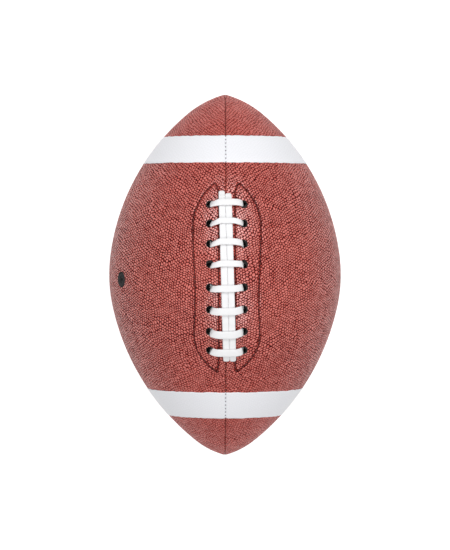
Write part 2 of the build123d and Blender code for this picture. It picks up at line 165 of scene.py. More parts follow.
class LacingLook(bpy.types.PropertyGroup):
    """The lace, its holes and the stitch line round them."""

    rung_pitch: length("Rung pitch", 16.2, "Distance between rungs along the surface")
    leg_width: length("Leg width", 4.0, "Width of the lace in a hole")
    leg_offset: length("Leg offset", 11.0, "From the seam to the lace in a hole")
    flat_half: length("Flat half", 7.2, "Half the flat stretch of a rung")
    thickness: length("Lace thickness", 1.5, "Thickness of the lace")
    clearance: length("Clearance", 0.25, "Space between the lace and what it lies on")
    dip: length("Dip", 0.3, "Height at which a rung turns down into its hole")
    inside_depth: length("Inside depth", 6.4, "Depth at which the lace runs inside the cover")
    tail: length("Tail", 12.0, "Length of the lace's ends inside")
    hole_radius: length("Hole radius", 2.9, "Radius of a lace hole")
    hole_offset: length("Hole offset", 12.2, "From the seam to a hole's middle")
    hole_depth: length("Hole depth", 2.6, "How deep a hole's wall shows")
    strand_width: length("Strand width", 4.72, "Width of one strand of the spine")
    nose_overhang: length("Nose overhang", 5.5, "How far the spine passes the rung nearest the nose")
    tail_overhang: length("Tail overhang", 4.3, "How far the spine passes the rung nearest the tail")
    fold_step: length("Fold step", 1.8, "How far one strand stops short of the other at the nose")
    row_shift: length("Row shift", 0.7, "How far the middle between the rows of holes lies off the seam")
    shift: length("Spine shift", 1.05, "How far the spine's middle lies off the seam")
    lean: angle("Spine lean", 1.6, "Turn of the spine from the seam")
    nose_leaf: length("Nose leaf", 13.4, "How far the stitch line passes the rung nearest the nose")
    tail_leaf: length("Tail leaf", 14.6, "How far the stitch line passes the rung nearest the tail")
    leaf_end_run: length("Leaf end run", 30.0, "Length of the stitch line's curved ends")
    leaf_side: length("Leaf side", 24.0, "From the seam to the stitch line's side")
    nose_corner: length("Nose corner", 8.4, "From the seam to the stitch line's corners at the nose")
    tail_corner: length("Tail corner", 6.8, "From the seam to the stitch line's corners at the tail")
    leaf_stray: length("Leaf stray", 0.8, "How far the stitch line's side strays")
    leaf_inner: length("Leaf inner", 6.0, "From the seam to the stitch line's inner run")
    leaf_hook: length("Leaf hook", 6.4, "Length over which the corners turn in")
    white: colour("White", (0.87, 0.87, 0.88), "Colour of the lace")


class StitchLook(bpy.types.PropertyGroup):
    """Thread in the seams and round the lacing."""

    thread: length("Thread", 0.7, "Thickness of the thread round the lacing")
    seam_thread: length("Seam thread", 0.95, "Thickness of the seams' thread")
    seam_pitch: length("Seam pitch", 3.5, "Distance between the stitches of a seam")
    seam_depth: length("Seam depth", 0.45, "Depth of a seam's stitches in the stripes")
    bare_depth: length("Bare depth", 0.75, "Depth of a seam's stitches in the bare leather")
    leaf_pitch: length("Leaf pitch", 3.2, "Distance between the stitches round the lacing")
    groove_depth: length("Groove depth", 0.55, "Depth of the groove round the lacing")
    groove_width: length("Groove width", 0.52, "Half the width of that groove")
    slot_margin: length("Slot margin", 6.0, "How far the unsewn slot passes the last rung")
    seam_colour: colour("Seam colour", (0.100, 0.018, 0.014), "Colour of the seams' thread")
    painted_colour: colour("Painted thread", (0.130, 0.125, 0.140), "Colour of that thread in the stripes")
    leaf_colour: colour("Leaf thread", (0.070, 0.012, 0.010), "Colour of the thread round the lacing")


class ValveLook(bpy.types.PropertyGroup):
    """The rubber valve."""

    angle: angle("Angle", 62.0, "Turn from the lacing to the valve")
    station: length("Station", 2.5, "From the middle of the ball to the valve, along the axis")
    hole_radius: length("Hole radius", 5.8, "Radius of the hole in the panel")
    neck_radius: length("Neck radius", 5.6, "Radius of the valve's neck")
    flange_radius: length("Flange radius", 12.0, "Radius of the valve's flange")
    flange_depth: length("Flange depth", 4.2, "Depth of the flange's upper face")
    flange_thickness: length("Flange thickness", 1.2, "Thickness of the flange")
    stem_radius: length("Stem radius", 4.5, "Radius of the stem inside the bladder")
    depth: length("Depth", 13.0, "Depth of the stem's end")
    bore_radius: length("Bore radius", 2.5, "Radius of the bore for the plug")
    plug_radius: length("Plug radius", 2.45, "Radius of the plug")
    plug_sink: length("Plug sink", 0.6, "Depth of the plug's top")
    plug_length: length("Plug length", 11.0, "Length of the plug")
    needle_radius: length("Needle radius", 1.0, "Radius of the needle's hole")
    needle_depth: length("Needle depth", 8.5, "Depth of the needle's hole")
    black: colour("Rubber", (0.008, 0.008, 0.008), "Colour of the valve")


class StudioLook(bpy.types.PropertyGroup):
    """Camera and light."""

    distance: length("Distance", 2000.0, "From the camera to the ball's middle")
    tilt: angle("Tilt", 1.2, "Turn of the camera towards the nose")
    turn: angle("Turn", 0.5, "Turn of the camera about the ball's axis")
    lens: amount("Lens", 173.2, "Focal length", unit="CAMERA")
    room: amount("Room light", 0.37, "Strength of the light from all sides")
    key: amount("Key light", 12.4, "Power of the lamp over the nose", unit="POWER")
    fill: amount("Fill light", 9.5, "Power of the lamp over the tail", unit="POWER")


# Shader and geometry nodes as expressions


class Wire:
    """The output socket of a node, which can be used in sums."""

    def __init__(self, board, socket):
        self.board = board
        self.socket = socket

    def out(self, name):
        """Another output of the same node."""
        return Wire(self.board, self.socket.node.outputs[name])

    def __add__(self, other):
        return self.board.maths("ADD", self, other)

    def __radd__(self, other):
        return self.board.maths("ADD", other, self)

    def __sub__(self, other):
        return self.board.maths("SUBTRACT", self, other)

    def __rsub__(self, other):
        return self.board.maths("SUBTRACT", other, self)

    def __mul__(self, other):
        return self.board.maths("MULTIPLY", self, other)

    def held(self):
        """The same value, kept between 0 and 1."""
        return self.board.maths("ADD", self, 0.0, clamp=True)


class Board:
    """A node tree to which nodes are added."""

    def __init__(self, tree):
        self.tree = tree

    def connect(self, node, sockets):
        """Links wires to a node's inputs, and sets the inputs that have plain values."""
        for key, value in sockets.items():
            if isinstance(value, Wire):
                self.tree.links.new(value.socket, node.inputs[key])
            else:
                node.inputs[key].default_value = value

    def add(self, kind, settings=None, sockets=None, out=0):
        """A node of that kind, with its settings and then its sockets. Gives one of its outputs."""
        node = self.tree.nodes.new(kind)
        for name, value in (settings or {}).items():
            setattr(node, name, value)
        self.connect(node, sockets or {})
        return Wire(self, node.outputs[out]) if len(node.outputs) else node

    def maths(self, operation, *values, clamp=False):
        """A Math node."""
        settings = {"operation": operation, "use_clamp": clamp}
        return self.add("ShaderNodeMath", settings, dict(enumerate(values)))

    def vector(self, operation, *values, out="Vector"):
        """A Vector Math node."""
        return self.add("ShaderNodeVectorMath", {"operation": operation}, dict(enumerate(values)), out)

    def mix(self, factor, first, second):
        """One colour fading into another."""
        sockets = {0: factor, 6: rgba(first), 7: rgba(second)}
        return self.add("ShaderNodeMix", {"data_type": "RGBA"}, sockets, out=2)

    def noise(self, place, scale, detail=2.0):
        """A cloudy value from 0 to 1."""
        return self.add("ShaderNodeTexNoise", None, {"Vector": place, "Scale": scale, "Detail": detail})

    def bump(self, height, distance, strength=1.0):
        """A normal from a height."""
        sockets = {"Strength": strength, "Distance": distance, "Height": height}
        return self.add("ShaderNodeBump", None, sockets)


class Paint(Board):
    """The node tree of a new material, with its shader and the place on the object."""

    def __init__(self, name):
        self.material = bpy.data.materials.new(name)
        self.material.use_nodes = True
        super().__init__(self.material.node_tree)
        self.shader = self.tree.nodes["Principled BSDF"]
        self.place = self.add("ShaderNodeTexCoord", out="Object")

    def dressed(self, **values):
        """The material, once its shader has these inputs. Underscores in a name stand for spaces."""
        self.connect(self.shader, {name.replace("_", " "): value for name, value in values.items()})
        return self.material


def rgba(value):
    """A colour socket's value, from three numbers or a wire."""
    return value if isinstance(value, Wire) else (*value, 1.0)


def shade(tint, share):
    """A colour made paler or darker."""
    return [channel * share for channel in tint]


def pebbles(board, hide, pitch):
    """Height of the leather's grain: 0 in a pit and 1 on top of a pebble.
    hide is the place on the flat leather, where the pebbles lie in rows that bend and stray a little."""
    bend = board.noise(hide, BENDS / pitch, 2.0).out("Color")
    stray = board.noise(hide, STRAYS / pitch, 1.0).out("Color")
    place = board.vector("MULTIPLY_ADD", bend, (BEND * pitch,) * 3, hide)
    place = board.vector("MULTIPLY_ADD", stray, (STRAY * pitch,) * 3, place)
    tightness = 4 * math.pi / (math.sqrt(3) * pitch)
    waves = 1.7
    for n, weight in enumerate((1.15, 1.0, 1.0)):
        turn = ROW_TURN + n * math.pi / 3
        way = (tightness * math.cos(turn), tightness * math.sin(turn), 0.0)
        waves = waves + board.maths("COSINE", board.vector("DOT_PRODUCT", place, way, out="Value")) * weight
    slope = 1 - (waves * 0.4).held()
    return 1 - slope * slope


def cover_leather():
    """Pebbled leather: paler, smoother pebbles and dark creases, with a slow change of tone. The pale tops
    are partly painted sheen and the dark creases painted shade; towards the points both fade to a middle
    tone."""
    look = bpy.context.scene.cover_look
    board = Paint("cover_leather")
    hide = board.add("ShaderNodeAttribute", {"attribute_name": "hide"}, out="Vector")
    drawn_in = board.add("ShaderNodeAttribute", {"attribute_name": "drawn_in"}, out="Fac")
    pebble = pebbles(board, hide, look.pebble_pitch)
    cloud = board.noise(board.place, 28.0, 3.0)
    speck = board.noise(board.place, 2600.0, 2.0)
    uneven = board.noise(hide, 0.45 / look.pebble_pitch, 1.0)
    along = board.add("ShaderNodeSeparateXYZ", sockets={"Vector": board.place}, out="X")
    # How far the painted sheen and shade fade to a middle tone towards the points: none within 44 mm of the
    # ball's middle, and all of it from 98 mm on
    fade_to_points = (along * along * 130.0 - 0.25).held()
    grain = pebble * 0.9 + (speck - 0.5) * 0.2 + (uneven - 0.5) * 0.5
    # The tone fades to a middle one towards the points, and sinks to the crease colour in the stitch line's
    # groove: painted shade in the groove
    height = (grain + (0.70 - grain) * fade_to_points * 0.5) * (1 - drawn_in * 0.8)
    # Creases go to the painted crease shade, and the tops to the paler colour of the painted sheen
    tone = board.mix((height * 2.7 - 1.0).held(), look.crease_shade_colour, look.hide_colour)
    tone = board.mix((height * 3.4 - 2.2).held(), tone, look.top_sheen_colour)
    return board.dressed(
        # In slow patches the tops turn paler still, towards a paler copy of the sheen colour
        Base_Color=board.mix((cloud - 0.45).held() * height, tone, shade(look.top_sheen_colour, 1.15)),
        Roughness=0.62 + (speck - 0.5) * 0.1,
        Coat_Weight=(height * 2.2 - 1.05).held() * (0.6 - (drawn_in * 3).held() * 0.6),
        Normal=board.bump(pebble + speck * 0.1, 0.42 * MM),
        Specular_IOR_Level=0.05,
        Coat_IOR=2.2,
        Coat_Roughness=0.25,
    )


def cut_leather():
    """The wall of a punched hole, near black: painted shade down the hole."""
    board = Paint("cut_leather")
    fibre = board.noise(board.place, 1800.0, 4.0)
    dark = bpy.context.scene.cover_look.hole_shade_colour
    tone = board.mix(fibre, dark, shade(dark, 2.4))
    return board.dressed(Base_Color=tone, Roughness=0.9, Normal=board.bump(fibre, 0.1 * MM))


def stripe_paint():
    """White paint that fills the grain and lets a little of its relief through, a little darker in the
    grain's pits: painted shade.
    """
    white = bpy.context.scene.stripe_look.white
    board = Paint("stripe_paint")
    hide = board.add("ShaderNodeAttribute", {"attribute_name": "hide"}, out="Vector")
    pebble = pebbles(board, hide, bpy.context.scene.cover_look.pebble_pitch)
    cloud = board.noise(board.place, 60.0, 3.0)
    return board.dressed(
        # Darker in the grain's pits, painted shade, and in slow clouds
        Base_Color=board.mix((pebble * 0.75 + cloud * 0.4).held(), shade(white, 0.93), white),
        Roughness=0.42 + cloud * 0.16,
        Normal=board.bump(pebble, 0.05 * MM, 0.5),
    )


def lace_vinyl():
    """White lace: smooth vinyl with a fine lengthwise drag."""
    white = bpy.context.scene.lacing_look.white
    board = Paint("lace_vinyl")
    cloud = board.noise(board.place, 240.0, 3.0)
    drag = board.noise(board.place, 1500.0, 2.0)
    return board.dressed(
        Base_Color=board.mix(cloud, shade(white, 0.94), white),
        Roughness=0.38 + drag * 0.2,
        Normal=board.bump(drag, 0.04 * MM, 0.6),
        Specular_IOR_Level=0.35,
    )


def twisted_thread(name, tint):
    """Waxed thread with the lay of its strands."""
    board = Paint(name)
    sockets = {"Vector": board.place, "Scale": 900.0, "Distortion": 1.0}
    lay = board.add("ShaderNodeTexWave", {"bands_direction": "DIAGONAL"}, sockets, "Fac")
    tone = board.mix(lay, tint, shade(tint, 2.2))
    return board.dressed(Base_Color=tone, Roughness=0.6, Normal=board.bump(lay, 0.08 * MM))


def valve_rubber(name, tint):
    """Matt moulded rubber with a faint bloom."""
    board = Paint(name)
    bloom = board.noise(board.place, 420.0, 4.0)
    grain = board.noise(board.place, 3200.0, 2.0)
    return board.dressed(
        Base_Color=board.mix(bloom, tint, shade(tint, 1.9)),
        Roughness=0.48 + bloom * 0.25,
        Normal=board.bump(grain, 0.03 * MM),
        Specular_IOR_Level=0.12,
    )


def woven_cloth(name, tint, pitch):
    """Plain weave: two sets of yarns, over and under."""
    board = Paint(name)
    sockets = {"Vector": board.place, "Scale": 0.32 / pitch}
    warp, weft = (board.add("ShaderNodeTexWave", {"bands_direction": way}, sockets, "Fac") for way in "XY")
    weave = warp * weft
    tone = board.mix(weave, shade(tint, 0.6), tint)
    return board.dressed(Base_Color=tone, Roughness=0.85, Normal=board.bump(weave, 0.1 * MM))


# The ball's surface


def framed(place, along, level, out):
    """A frame at a place, from the directions of its axes."""
    return Matrix.Translation(place) @ Matrix((along, level, out)).transposed().to_4x4()


def unit(ways):
    """Directions, each one brought to length 1."""
    return ways / np.linalg.norm(ways, axis=1)[:, None]


class Meridian:
    """The ball's profile: to each end a belly arc, a shoulder arc, a point arc and a tip, all tangent."""

    TABLE = 6000

    def __init__(self):
        shape = bpy.context.scene.ball_shape
        self.arcs = {way: self.to_tip(shape, end) for end, way in ENDS.items()}
        self.lengths = {
            end: sum(radius * (stop - start) for _, _, radius, start, stop in arcs)
            for end, arcs in self.arcs.items()
        }
        self.runs = {end: np.linspace(0.0, end * full, self.TABLE) for end, full in self.lengths.items()}
        self.stations = {end: self.at(runs)[0] for end, runs in self.runs.items()}

    def to_tip(self, shape, end):
        """The arcs from the belly to one tip: centre, radius, and the angles where each starts and stops."""
        names = ("belly", "shoulder", "point")
        belly, shoulder, point = (getattr(shape, f"{end}_{name}_radius") for name in names)
        arcs, start = [], 0.0
        x, r = 0.0, shape.radius - belly
        for arc, radius, after in (("belly", belly, shoulder), ("shoulder", shoulder, point)):
            stop = getattr(shape, f"{end}_{arc}_turn")
            arcs.append((x, r, radius, start, stop))
            x += (radius - after) * math.sin(stop)
            r += (radius - after) * math.cos(stop)
            start = stop
        last = math.acos(-r / (point - shape.tip_radius))
        tip = x + (point - shape.tip_radius) * math.sin(last)
        return [*arcs, (x, r, point, start, last), (tip, 0.0, shape.tip_radius, last, math.pi / 2)]

    def at(self, run):
        """Station along the axis, distance from it and angle of the normal, that far along the surface."""
        run = np.asarray(run, float)
        along = np.abs(run)
        x, r, angle = np.zeros_like(along), np.zeros_like(along), np.zeros_like(along)
        for end, arcs in self.arcs.items():
            begun = 0.0
            for cx, cr, radius, start, stop in arcs:
                turn = start + (along - begun) / radius
                here = (along >= begun) & (run * end >= 0)
                x = np.where(here, end * (cx + radius * np.sin(turn)), x)
                r = np.where(here, cr + radius * np.cos(turn), r)
                angle = np.where(here, end * turn, angle)
                begun += radius * (stop - start)
        return x, r, angle

    def run_at(self, station):
        """How far along the surface a station of the axis lies."""
        station = np.asarray(station, float)
        nose = np.interp(-station, -self.stations[-1], self.runs[-1])
        return np.where(station < 0, nose, np.interp(station, self.stations[1], self.runs[1]))

    def skin(self, run, turn, height):
        """Points at a run along the ball and a turn from the lacing, that high over the surface."""
        x, r, angle = self.at(run)
        out = r + height * np.cos(angle)
        return np.stack([x + height * np.sin(angle), out * np.sin(turn), out * np.cos(turn)], -1)

    def seat(self, run):
        """A frame over the lacing: x along the ball, y across the lacing and z straight out."""
        x, r, angle = (float(value) for value in self.at(run))
        along = Vector((math.cos(angle), 0, -math.sin(angle)))
        out = Vector((math.sin(angle), 0, math.cos(angle)))
        return framed((x, 0, r), along, Vector((0, 1, 0)), out)

    def ribbon(self, runs, aside, height):
        """The middle of a strap that far aside of the lacing's seam and that high over the surface.
        Gives its points, and for each one the directions across the strap and straight out."""
        turn = np.arcsin(aside / self.at(runs)[1])
        middles = self.skin(runs, turn, height)
        up = self.skin(runs, turn, 1.0) - self.skin(runs, turn, 0.0)
        return middles, unit(np.cross(up, np.gradient(middles, axis=0))), up


def lifted(points):
    """Points about the ball's middle, moved to where the ball lies."""
    return np.asarray(points, float) + np.array([0.0, 0.0, bpy.context.scene.ball_shape.centre_height])


def smooth_step(value):
    """0 below 0, 1 above 1 and a soft rise between."""
    value = np.clip(value, 0.0, 1.0)
    return value * value * (3 - 2 * value)


def eased(turn):
    """The turn at which a point lay on the flat hide, which is drawn wider towards the side seams."""
    return turn - SIDE_DRAW * (turn - np.sin(2 * turn) / 2) - math.pi / 4


def quarter_skin(meridian, runs, turns, height, edge_angles, edge_depth=None):
    """A grid over one quarter of the ball, with its edges rounded into the seams.
    runs has a value for each row, or one for each point. Gives the points, each one's distance to a seam and
    its place on the flat leather."""
    shape = bpy.context.scene.ball_shape
    columns = 2 * len(edge_angles) + len(turns) + (2 if edge_depth else 0)
    runs = np.broadcast_to(runs if runs.ndim > 1 else runs[:, None], (len(runs), columns))
    x, r, angle = meridian.at(runs)
    rounding = np.minimum(shape.seam_rounding, 0.4 * r)
    gap = np.minimum(shape.seam_gap / 2, 0.1 * r)
    edges = []
    if edge_depth:
        edges.append((gap, edge_depth + 0 * r))
    for turn in edge_angles:
        across = gap + rounding - (rounding + height) * math.cos(turn)
        edges.append((across, rounding - (rounding + height) * math.sin(turn)))
    points, near, hide = np.zeros((*x.shape, 3)), np.zeros(x.shape), np.zeros((*x.shape, 3))
    hide[..., 0] = runs
    for n, (across, depth) in enumerate(edges):
        for column, swap in ((n, False), (columns - 1 - n, True)):
            y, d, a, rr = across[:, column], depth[:, column], angle[:, column], r[:, column]
            z = np.sqrt(np.maximum(rr**2 - y**2, 0.0)) - d * np.cos(a)
            points[:, column, 0] = x[:, column] - d * np.sin(a)
            points[:, column, 1] = z if swap else y
            points[:, column, 2] = y if swap else z
            near[:, column] = y
            beyond = np.arcsin(np.clip(y / rr, 0.0, 0.7))
            hide[:, column, 1] = rr * eased(math.pi / 2 - beyond if swap else beyond)
    first = np.arcsin(np.clip((gap + rounding) / r, 0.0, 0.7))
    for n, share in enumerate(turns):
        column = len(edges) + n
        turn = first[:, column] + share * (math.pi / 2 - 2 * first[:, column])
        points[:, column] = meridian.skin(runs[:, column], turn, height)
        near[:, column] = r[:, column] * np.minimum(np.sin(turn), np.cos(turn))
        hide[:, column, 1] = r[:, column] * eased(turn)
    return points, near, hide


def grid_faces(rows, columns, flip):
    """Quads between the neighbours of a grid."""
    start = (np.arange(rows - 1)[:, None] * columns + np.arange(columns - 1)).ravel()
    quads = np.stack([start, start + columns, start + columns + 1, start + 1], -1)
    return quads[:, ::-1] if flip else quads


def ring_faces(rings, sides, start=0, closed=False):
    """Quads between neighbouring rings of points, and between the last and the first if they are closed."""
    faces = []
    for ring in range(rings if closed else rings - 1):
        here = start + ring * sides
        after = start + (ring + 1) % rings * sides
        for n in range(sides):
            m = (n + 1) % sides
            faces.append([here + n, here + m, after + m, after + n])
    return faces


def placed_object(name, data):
    """A new object in the scene."""
    item = bpy.data.objects.new(name, data)
    bpy.context.scene.collection.objects.link(item)
    return item


def new_piece(name, vertices, faces, materials, replaced, body=BALL_BODY):
    """An object from points about the ball's middle, riding on its body."""
    mesh = bpy.data.meshes.new(name)
    mesh.from_pydata(lifted(vertices).tolist(), [], [list(face) for face in faces])
    mesh.update()
    for material in materials:
        mesh.materials.append(material)
    mesh.shade_smooth()
    piece = placed_object(name, mesh)
    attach(piece, body)
    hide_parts(*replaced)
    return piece


def mark(piece, name, values):
    """Gives each point of a piece a number or a vector that its material or its relief reads."""
    values = np.asarray(values, np.float32)
    kind, field = ("FLOAT", "value") if values.ndim == 1 else ("FLOAT_VECTOR", "vector")
    layer = piece.data.attributes.new(name, kind, "POINT")
    layer.data.foreach_set(field, values.ravel())


# Leather panels


def rung_runs():
    """Where the rungs lie along the surface, before each one strays."""
    middle = (len(RUNGS) - 1) / 2
    return [(n - middle) * bpy.context.scene.lacing_look.rung_pitch for n in range(len(RUNGS))]


def path_steps(path):
    """How far along a path each of its points lies."""
    return np.concatenate([[0.0], np.cumsum(np.hypot(*np.diff(path, axis=0).T))])


def leaf_path(side):
    """Plan of the stitch line round one row of lace holes, as a closed run of points."""
    lacing = bpy.context.scene.lacing_look
    path = leaf_end(1, lacing.tail_leaf, lacing.tail_corner)
    path = np.concatenate([path, leaf_end(-1, lacing.nose_leaf, lacing.nose_corner)[::-1], path[:1]])
    steps = path_steps(path)
    even = np.linspace(0.0, steps[-1], int(steps[-1] / LEAF_STEP))
    plan = np.stack([np.interp(even, steps, column) for column in path.T], -1)
    outer = smooth_step(plan[:, 1] / (0.4 * lacing.leaf_side) - 1.5)
    wave = np.cos(2 * math.pi * (plan[:, 0] + LEAF_CREST) / LEAF_WAVE)
    plan[:, 1] += lacing.leaf_stray * outer * wave
    return plan * np.array([1.0, side]) + np.array([0.0, lacing.row_shift])


def leaf_end(end, overhang, corner):
    """One end of the stitch line: from the straight side round to the corner, and the hook that turns in."""
    lacing = bpy.context.scene.lacing_look
    last = abs(float(Meridian().at(end * rung_runs()[-1])[0])) + overhang
    rise = lacing.leaf_side - corner
    radius = (lacing.leaf_end_run**2 + rise**2) / (2 * rise)
    bend = np.linspace(0.0, math.asin(lacing.leaf_end_run / radius), 24)
    x = last - lacing.leaf_end_run + radius * np.sin(bend)
    y = lacing.leaf_side - radius * (1 - np.cos(bend))
    hook = [[last - lacing.leaf_hook, lacing.leaf_inner]]
    return np.concatenate([np.stack([x, y], -1), hook]) * np.array([end, 1.0])


def groove_depths(points, plan):
    """How far the leather is drawn in by the stitch line at each point, from 0 to 1."""
    stitch = bpy.context.scene.stitch_look
    lacing = bpy.context.scene.lacing_look
    depths = np.zeros(len(points))
    reach = lacing.leaf_side + 6 * stitch.groove_width
    close = np.where((np.abs(points[:, 1]) < reach) & (points[:, 2] > 0))[0]
    for block in np.array_split(close, 40):
        if not len(block):
            continue
        away = np.hypot(*(points[block, None, :2] - plan[None]).transpose(2, 0, 1)).min(1)
        depths[block] = np.exp(-((away / stitch.groove_width) ** 2))
    return depths


def punch(work, middle, axis, radius, depth, dark_slot):
    """Cuts a round hole with a rolled rim and a wall into a panel."""
    roll = 0.25 * MM
    step = bpy.context.scene.cover_look.mesh_step
    grain = work.verts.layers.float["grain"]

    def spoke(place):
        offset = place - middle
        return offset - axis * offset.dot(axis)

    def close(place):
        return (place - middle).length < 3 * radius

    gone = [face for face in work.faces if close(face.calc_center_median())]
    gone = [face for face in gone if spoke(face.calc_center_median()).length < radius + roll]
    bmesh.ops.delete(work, geom=gone, context="FACES")
    edges = [edge for edge in work.edges if edge.is_boundary and close(edge.verts[0].co)]
    edges = [edge for edge in edges if spoke(edge.verts[0].co).length < radius + roll + 2 * step]
    # How far out of the hole's radius each ring lies, in rolls, and how deep
    rings = ((1.0, 0.0), (0.5, 0.15 * roll), (0.15, 0.45 * roll), (0.0, roll), (0.0, depth))
    for n, (share, drop) in enumerate(rings):
        made = bmesh.ops.extrude_edge_only(work, edges=edges)["geom"] if n else edges
        edges = [item for item in made if isinstance(item, bmesh.types.BMEdge) and item.is_boundary]
        for vertex in {vertex for edge in edges for vertex in edge.verts}:
            out = spoke(vertex.co)
            vertex.co += out.normalized() * (radius + share * roll - out.length) - axis * drop
            vertex[grain] = 0.0
        for item in made:
            # Faces below the rim take the near-black hole wall: painted shade down the hole
            if isinstance(item, bmesh.types.BMFace) and n > 1:
                item.material_index = dark_slot


def press_pebbles(piece):
    """Presses the leather's grain into a panel's mesh, where its grain value allows."""
    look = bpy.context.scene.cover_look
    tree = bpy.data.node_groups.new("press_pebbles", "GeometryNodeTree")
    for way in ("INPUT", "OUTPUT"):
        tree.interface.new_socket("Geometry", in_out=way, socket_type="NodeSocketGeometry")
    board = Board(tree)
    hide = board.add("GeometryNodeInputNamedAttribute", {"data_type": "FLOAT_VECTOR"}, {"Name": "hide"})
    pebble = pebbles(board, hide, look.pebble_pitch)
    grain = board.add("GeometryNodeInputNamedAttribute", {"data_type": "FLOAT"}, {"Name": "grain"})
    sunk = (pebble - 1) * grain * look.pebble_relief
    sockets = {0: board.add("GeometryNodeInputNormal"), "Scale": sunk}
    offset = board.add("ShaderNodeVectorMath", {"operation": "SCALE"}, sockets)
    sockets = {"Geometry": board.add("NodeGroupInput"), "Offset": offset}
    moved = board.add("GeometryNodeSetPosition", None, sockets)
    board.add("NodeGroupOutput", None, {"Geometry": moved})
    modifier = piece.modifiers.new("press_pebbles", "NODES")
    modifier.node_group = tree
    seen = piece.evaluated_get(bpy.context.evaluated_depsgraph_get())
    pressed = bpy.data.meshes.new_from_object(seen)
    piece.modifiers.clear()
    piece.data = pressed
    bpy.data.node_groups.remove(tree)


def valve_seat():
    """A frame at the valve, about the ball's middle: x along the ball and z straight out of its surface."""
    valve = bpy.context.scene.valve_look
    meridian = Meridian()
    r = float(meridian.at(meridian.run_at(valve.station))[1])
    out = Vector((0, -math.sin(valve.angle), math.cos(valve.angle)))
    along = Vector((1, 0, 0))
    return framed(Vector((valve.station, 0, 0)) + out * r, along, out.cross(along), out)


class FOOTBALL_OT_cover(bpy.types.Operator):
    """Makes the four leather panels, with their grain, rolled edges, stitch grooves and punched holes"""

    bl_idname = "football.cover"
    bl_label = "Cover"

    # How thin the ball is where its panels stop
    TIP_RADIUS = 0.5 * MM
    # How far from a seam the grain begins and over what length it rises, in roundings of a panel's edge
    GRAIN_START = 0.4
    GRAIN_RISE = 1.6
    # The share of the grain that the stitch line presses flat
    PRESSED = 0.6
    # The place of the cut leather, near black with painted shade, among a panel's materials
    CUT_SLOT = 1
    EDGE_ANGLES = [math.radians(angle) for angle in (0, 22, 45, 66)]

    def execute(self, context):
        meridian = Meridian()
        look, shape = context.scene.cover_look, context.scene.ball_shape
        leather, cut = cover_leather(), cut_leather()
        first, last = (self.last_run(meridian, end) for end in (-1, 1))
        rows_at = np.linspace(first, last, int((last - first) / look.mesh_step))
        turns = np.linspace(0.0, 1.0, int(shape.radius * math.pi / 2 / look.mesh_step))
        points, near, hide = quarter_skin(meridian, rows_at, turns, 0.0, self.EDGE_ANGLES, shape.edge_depth)
        rounding = shape.seam_rounding
        grain = smooth_step((near - rounding * self.GRAIN_START) / (self.GRAIN_RISE * rounding))
        for n, (name, (y, z)) in enumerate(PANEL_SIDES.items()):
            placed = points.reshape(-1, 3) * np.array([1.0, y, z])
            drawn_in = np.zeros(len(placed))
            if z > 0:
                drawn_in = groove_depths(placed, leaf_path(y))
                depth = context.scene.stitch_look.groove_depth * drawn_in[:, None]
                placed = placed - depth * placed * [0, 1, 1] / shape.radius
            faces = grid_faces(*points.shape[:2], y * z < 0)
            piece = new_piece(
                f"leather_{name}", placed, faces, [leather, cut], replaced=[f"panel_{name}"]
            )
            mark(piece, "grain", grain.ravel() * (1 - self.PRESSED * drawn_in))
            mark(piece, "drawn_in", drawn_in)
            mark(piece, "hide", hide.reshape(-1, 3) + np.array([0.0, 0.0, n * shape.half_length]))
            if z > 0:
                self.punch_holes(context, piece, y, meridian)
            press_pebbles(piece)
        return {"FINISHED"}

    def last_run(self, meridian, end):
        """How far along the surface the panels go towards a tip."""
        runs = meridian.runs[end]
        return float(runs[np.argmax(meridian.at(runs)[1] < self.TIP_RADIUS)])

    def punch_holes(self, context, piece, side, meridian):
        """The lace holes of one panel, and the valve's hole in the left one."""
        lacing, valve = context.scene.lacing_look, context.scene.valve_look
        lift = Vector((0, 0, context.scene.ball_shape.centre_height))
        work = bmesh.new()
        work.from_mesh(piece.data)
        for run, (stray, *_) in zip(rung_runs(), RUNGS):
            seat = meridian.seat(run + stray * MM)
            middle = seat @ Vector((0, side * lacing.hole_offset + lacing.row_shift, 0)) + lift
            punch(work, middle, seat.col[2].to_3d(), lacing.hole_radius, lacing.hole_depth, self.CUT_SLOT)
        if side < 0:
            seat = valve_seat()
            axis = seat.col[2].to_3d()
            punch(work, seat.translation + lift, axis, valve.hole_radius, lacing.hole_depth, self.CUT_SLOT)
        work.to_mesh(piece.data)
        work.free()
        piece.data.shade_smooth()


# Stripes


